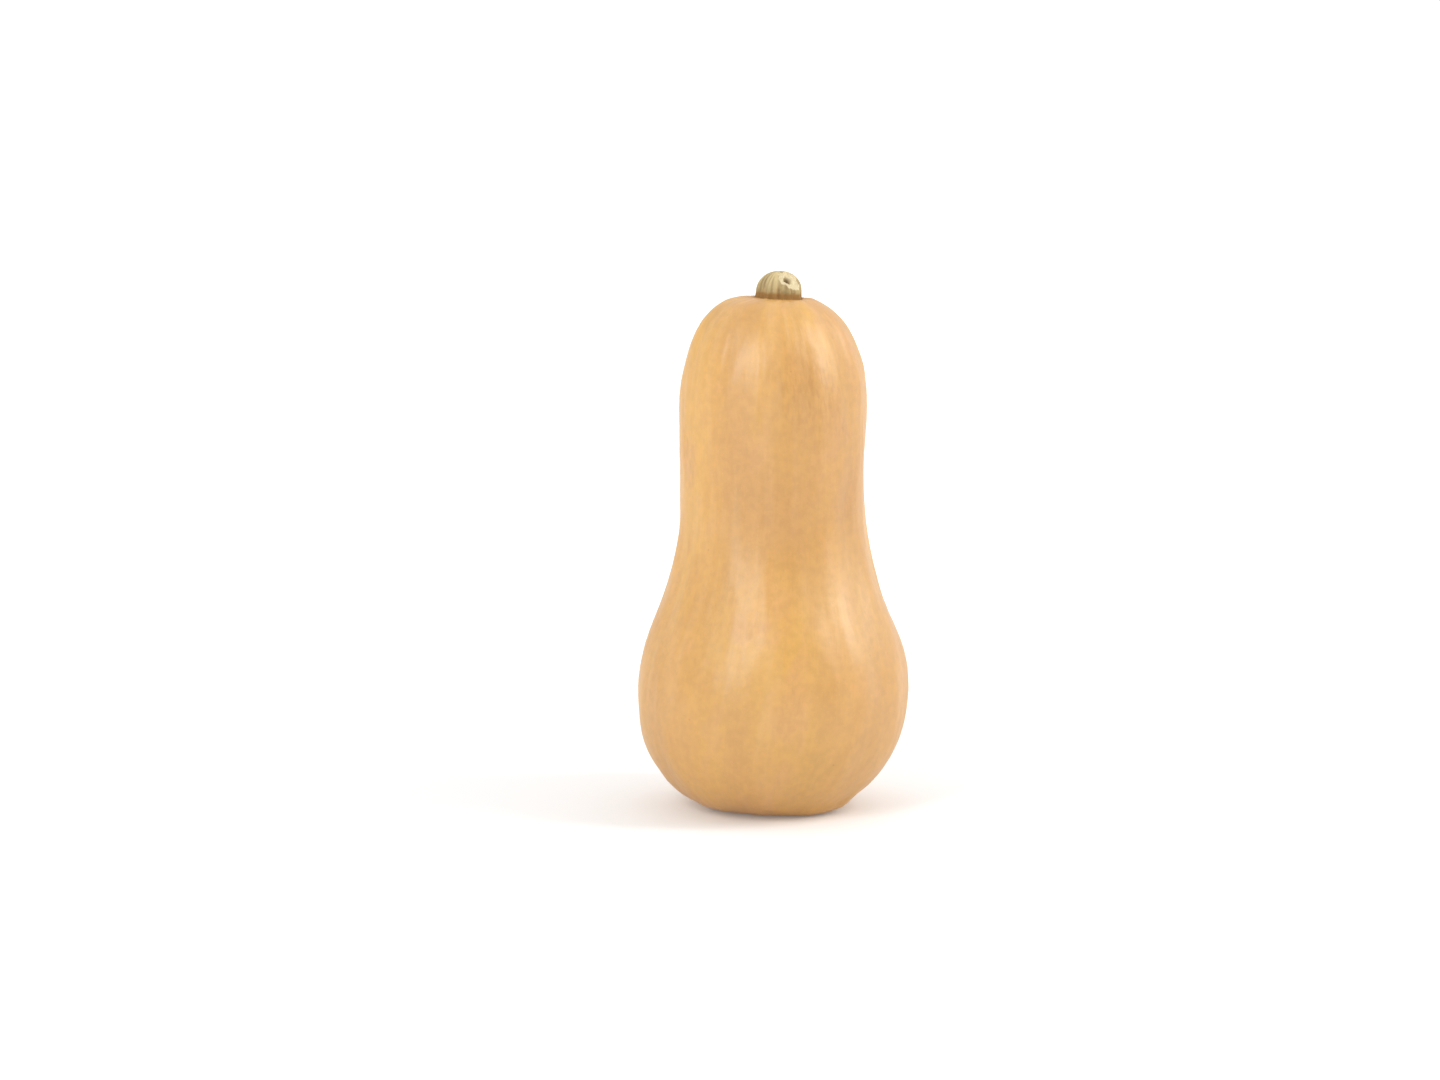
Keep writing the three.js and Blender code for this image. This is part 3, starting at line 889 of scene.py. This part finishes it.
def stem_rings():
    """Rings x columns x 3 points of the stem, with the masks of its fibres, break and pith."""
    draw = np.random.default_rng(5)
    radius, height = stem_outline[:, :1], stem_outline[:, 1:]
    distance = travelled(stem_outline)[:, None]
    angle = np.linspace(-np.pi, np.pi, STEM_COLUMNS, endpoint=False)[None, :]
    on_side = smoothstep(height, 0, STEM_EDGE)
    toward_rim = np.minimum(1, (radius / STEM_WAIST_RADIUS) ** 2)
    fade = 1 - 0.5 * smoothstep(height, 0, STEM_HEIGHT)
    girth = 2 * np.pi * STEM_WAIST_RADIUS
    fibres = waves(draw, 40, *FIBRE_WIDTHS, angle, distance, girth, stretch=5.0)
    warts = dents(draw, 120, *WART_WIDTHS, angle, distance, radius)
    shape = radius + fade * toward_rim * stem_ridges(angle)
    shape = shape + on_side * toward_rim * (FIBRE_HEIGHT * fibres + WART_HEIGHT * warts)
    points = np.stack([shape * np.cos(angle), shape * np.sin(angle), height + 0 * shape], axis=-1)

    normal = np.array([math.sin(BREAK_TILT) * math.cos(BREAK_BEARING),
                       math.sin(BREAK_TILT) * math.sin(BREAK_BEARING), math.cos(BREAK_TILT)])
    reach = (radius * math.sin(BREAK_TILT) + height * math.cos(BREAK_TILT)).max()
    waist_middle = np.array([0, 0, STEM_WAIST_HEIGHT])
    middle = waist_middle + normal * (reach - BREAK_DEPTH - waist_middle @ normal)
    chipped = CHIP_HEIGHT * waves(draw, 12, *CHIP_WIDTHS, angle, distance, girth)
    above = (points - middle) @ normal - chipped
    pressed = (above + np.sqrt(above**2 + BREAK_SOFTNESS**2)) / 2
    points = points - pressed[..., None] * normal
    broken = smoothstep(above, *BREAK_EDGE)

    out_of_plane = ((points - middle) @ normal)[..., None] * normal
    from_pith = np.linalg.norm(points - middle - out_of_plane, axis=-1)
    torn = waves(draw, 50, *TEAR_WIDTHS, angle, distance, girth / 2)
    hole = broken * np.exp(-((from_pith / PITH_RADIUS) ** 3))
    rim = bell(from_pith - RIM_RADIUS, RIM_WIDTH)
    dish = bell(from_pith, DISH_RADIUS)
    lift = broken * (TEAR_HEIGHT * torn - DISH_DEPTH * dish + RIM_HEIGHT * rim) - PITH_DEPTH * hole
    points = points + lift[..., None] * normal
    lean = np.array([[math.cos(CREST_TILT), 0, math.sin(CREST_TILT)], [0, 1, 0],
                     [-math.sin(CREST_TILT), 0, math.cos(CREST_TILT)]])
    masks = {"broken": broken, "pith": hole, "fibre": fibres * on_side, "rim": rim * broken}
    return points @ lean.T, angle, distance, masks


stem_points, stem_angle, stem_distance, stem_masks = stem_rings()
stem_floor = stem_low - np.array([0, 0, SEAT_GAP])
stem = turned_mesh("pumpkin_stem", fitted(stem_points, stem_floor, stem_high))
stem_grain_radius = STEM_WAIST_RADIUS * smoothstep(stem_outline[:, :1], 0, STEM_POLE_REACH)
stem_grain = np.stack([
    stem_grain_radius * np.cos(stem_angle),
    stem_grain_radius * np.sin(stem_angle),
    stem_distance + 0 * stem_angle,
], axis=-1)
store(stem, "grain", stem_grain)
store(stem, "ridge", stem_ridges(stem_angle) / RIDGE_HEIGHT + 0 * stem_distance)
store(stem, "up", stem_outline[:, 1:] + 0 * stem_angle)
for mask_name, mask in stem_masks.items():
    store(stem, mask_name, mask)

# %% [markdown]
# ## The finish of the stem
#
# Dry stem is khaki cork over wood. The crests of the ridges and the break have weathered pale, the furrows
# stay brown, and the stem is paler towards its top. A brown band of cork runs round the foot where the stem
# leaves the fruit, deepened by painted shade where it meets the skin.

# %% Colours of the stem
KHAKI = (0.420, 0.300, 0.130)
STRAW = (0.600, 0.470, 0.240)
CREAM = (0.720, 0.620, 0.400)
OLIVE = (0.270, 0.205, 0.095)
FURROW = (0.230, 0.150, 0.065)
FOOT_CORK_AND_SHADE = (0.290, 0.145, 0.036)
PATCH_SIZE = 6.5 * MM
STREAK_SIZE = 0.7 * MM
CRUMB_SIZE = 0.6 * MM
FOOT_BAND = (2.6 * MM, 4.4 * MM)  # the brown cork and painted shade round the foot fade out between these two heights
FOOT_UNEVENNESS = 1.2 * MM
PALER_TOWARD_TOP = (3 * MM, 11 * MM)  # the stem pales between these two heights
STEM_BUMP = 0.18 * MM


def stem_finish():
    """Khaki cork, pale on crests and break and towards the top, brown in the furrows, brown cork with
    painted shade round the foot, painted shade in the pith hole and a painted highlight on its rim.
    """
    stem = Finish("pumpkin_stem", Specular_IOR_Level=0.35)
    grain = stem.attribute("grain")
    place = stem.node("ShaderNodeTexCoord", output="Object")
    ridge, up, broken, pith, fibre, rim = (
        stem.attribute(name, "Fac") for name in ("ridge", "up", "broken", "pith", "fibre", "rim")
    )
    lengthwise = stem.stretched(grain, (1, 1, 0.14))
    patches = stem.noise(place, PATCH_SIZE, detail=4, roughness=0.6)
    streaks = stem.noise(lengthwise, STREAK_SIZE, detail=4, roughness=0.7)
    crumbs = stem.noise(place, CRUMB_SIZE, detail=4, roughness=0.7)
    crest = stem.between(ridge, -0.6, 0.9)
    # the stem is paler towards its top
    high = stem.between(up, *PALER_TOWARD_TOP)

    colour = stem.mix(stem.between(patches, 0.35, 0.65), KHAKI, OLIVE)
    colour = stem.mix((crest * 0.4 + high * 0.5).clamped(), colour, STRAW)
    colour = stem.mix(stem.between(streaks, 0.55, 0.75) * 0.4, colour, CREAM)
    colour = stem.mix((1 - stem.between(fibre, -1.2, 0.1)) * 0.6, colour, FURROW)
    colour = stem.mix(broken * 0.75, colour, CREAM)
    # the rim round the pith is a paler ring of wood, lightened further as a painted highlight on its raised
    # edge
    colour = stem.mix(rim * 0.7, colour, CREAM)
    colour = stem.mix(broken * stem.between(crumbs, 0.5, 0.7) * 0.35, colour, KHAKI)
    # brown cork round the foot, deepened by painted shade where the stem meets the skin
    foot = 1 - stem.between(up + FOOT_UNEVENNESS * (patches - 0.5), *FOOT_BAND)
    colour = stem.mix(foot * 0.9, colour, FOOT_CORK_AND_SHADE)
    # painted shade: the pith hole darkened to furrow brown, where the hollow lies in shade
    colour = stem.mix(stem.between(pith, 0.1, 0.8) * 0.85, colour, FURROW)
    relief = 0.6 * streaks + 0.6 * crumbs
    stem.shade(Base_Color=colour, Roughness=0.72 + 0.2 * crumbs, Normal=stem.bump(relief, STEM_BUMP))
    return stem.material


stem.data.materials.append(stem_finish())
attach(stem, "root")
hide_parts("stem")
print("the stem's finish has", len(stem.data.materials[0].node_tree.nodes), "nodes")
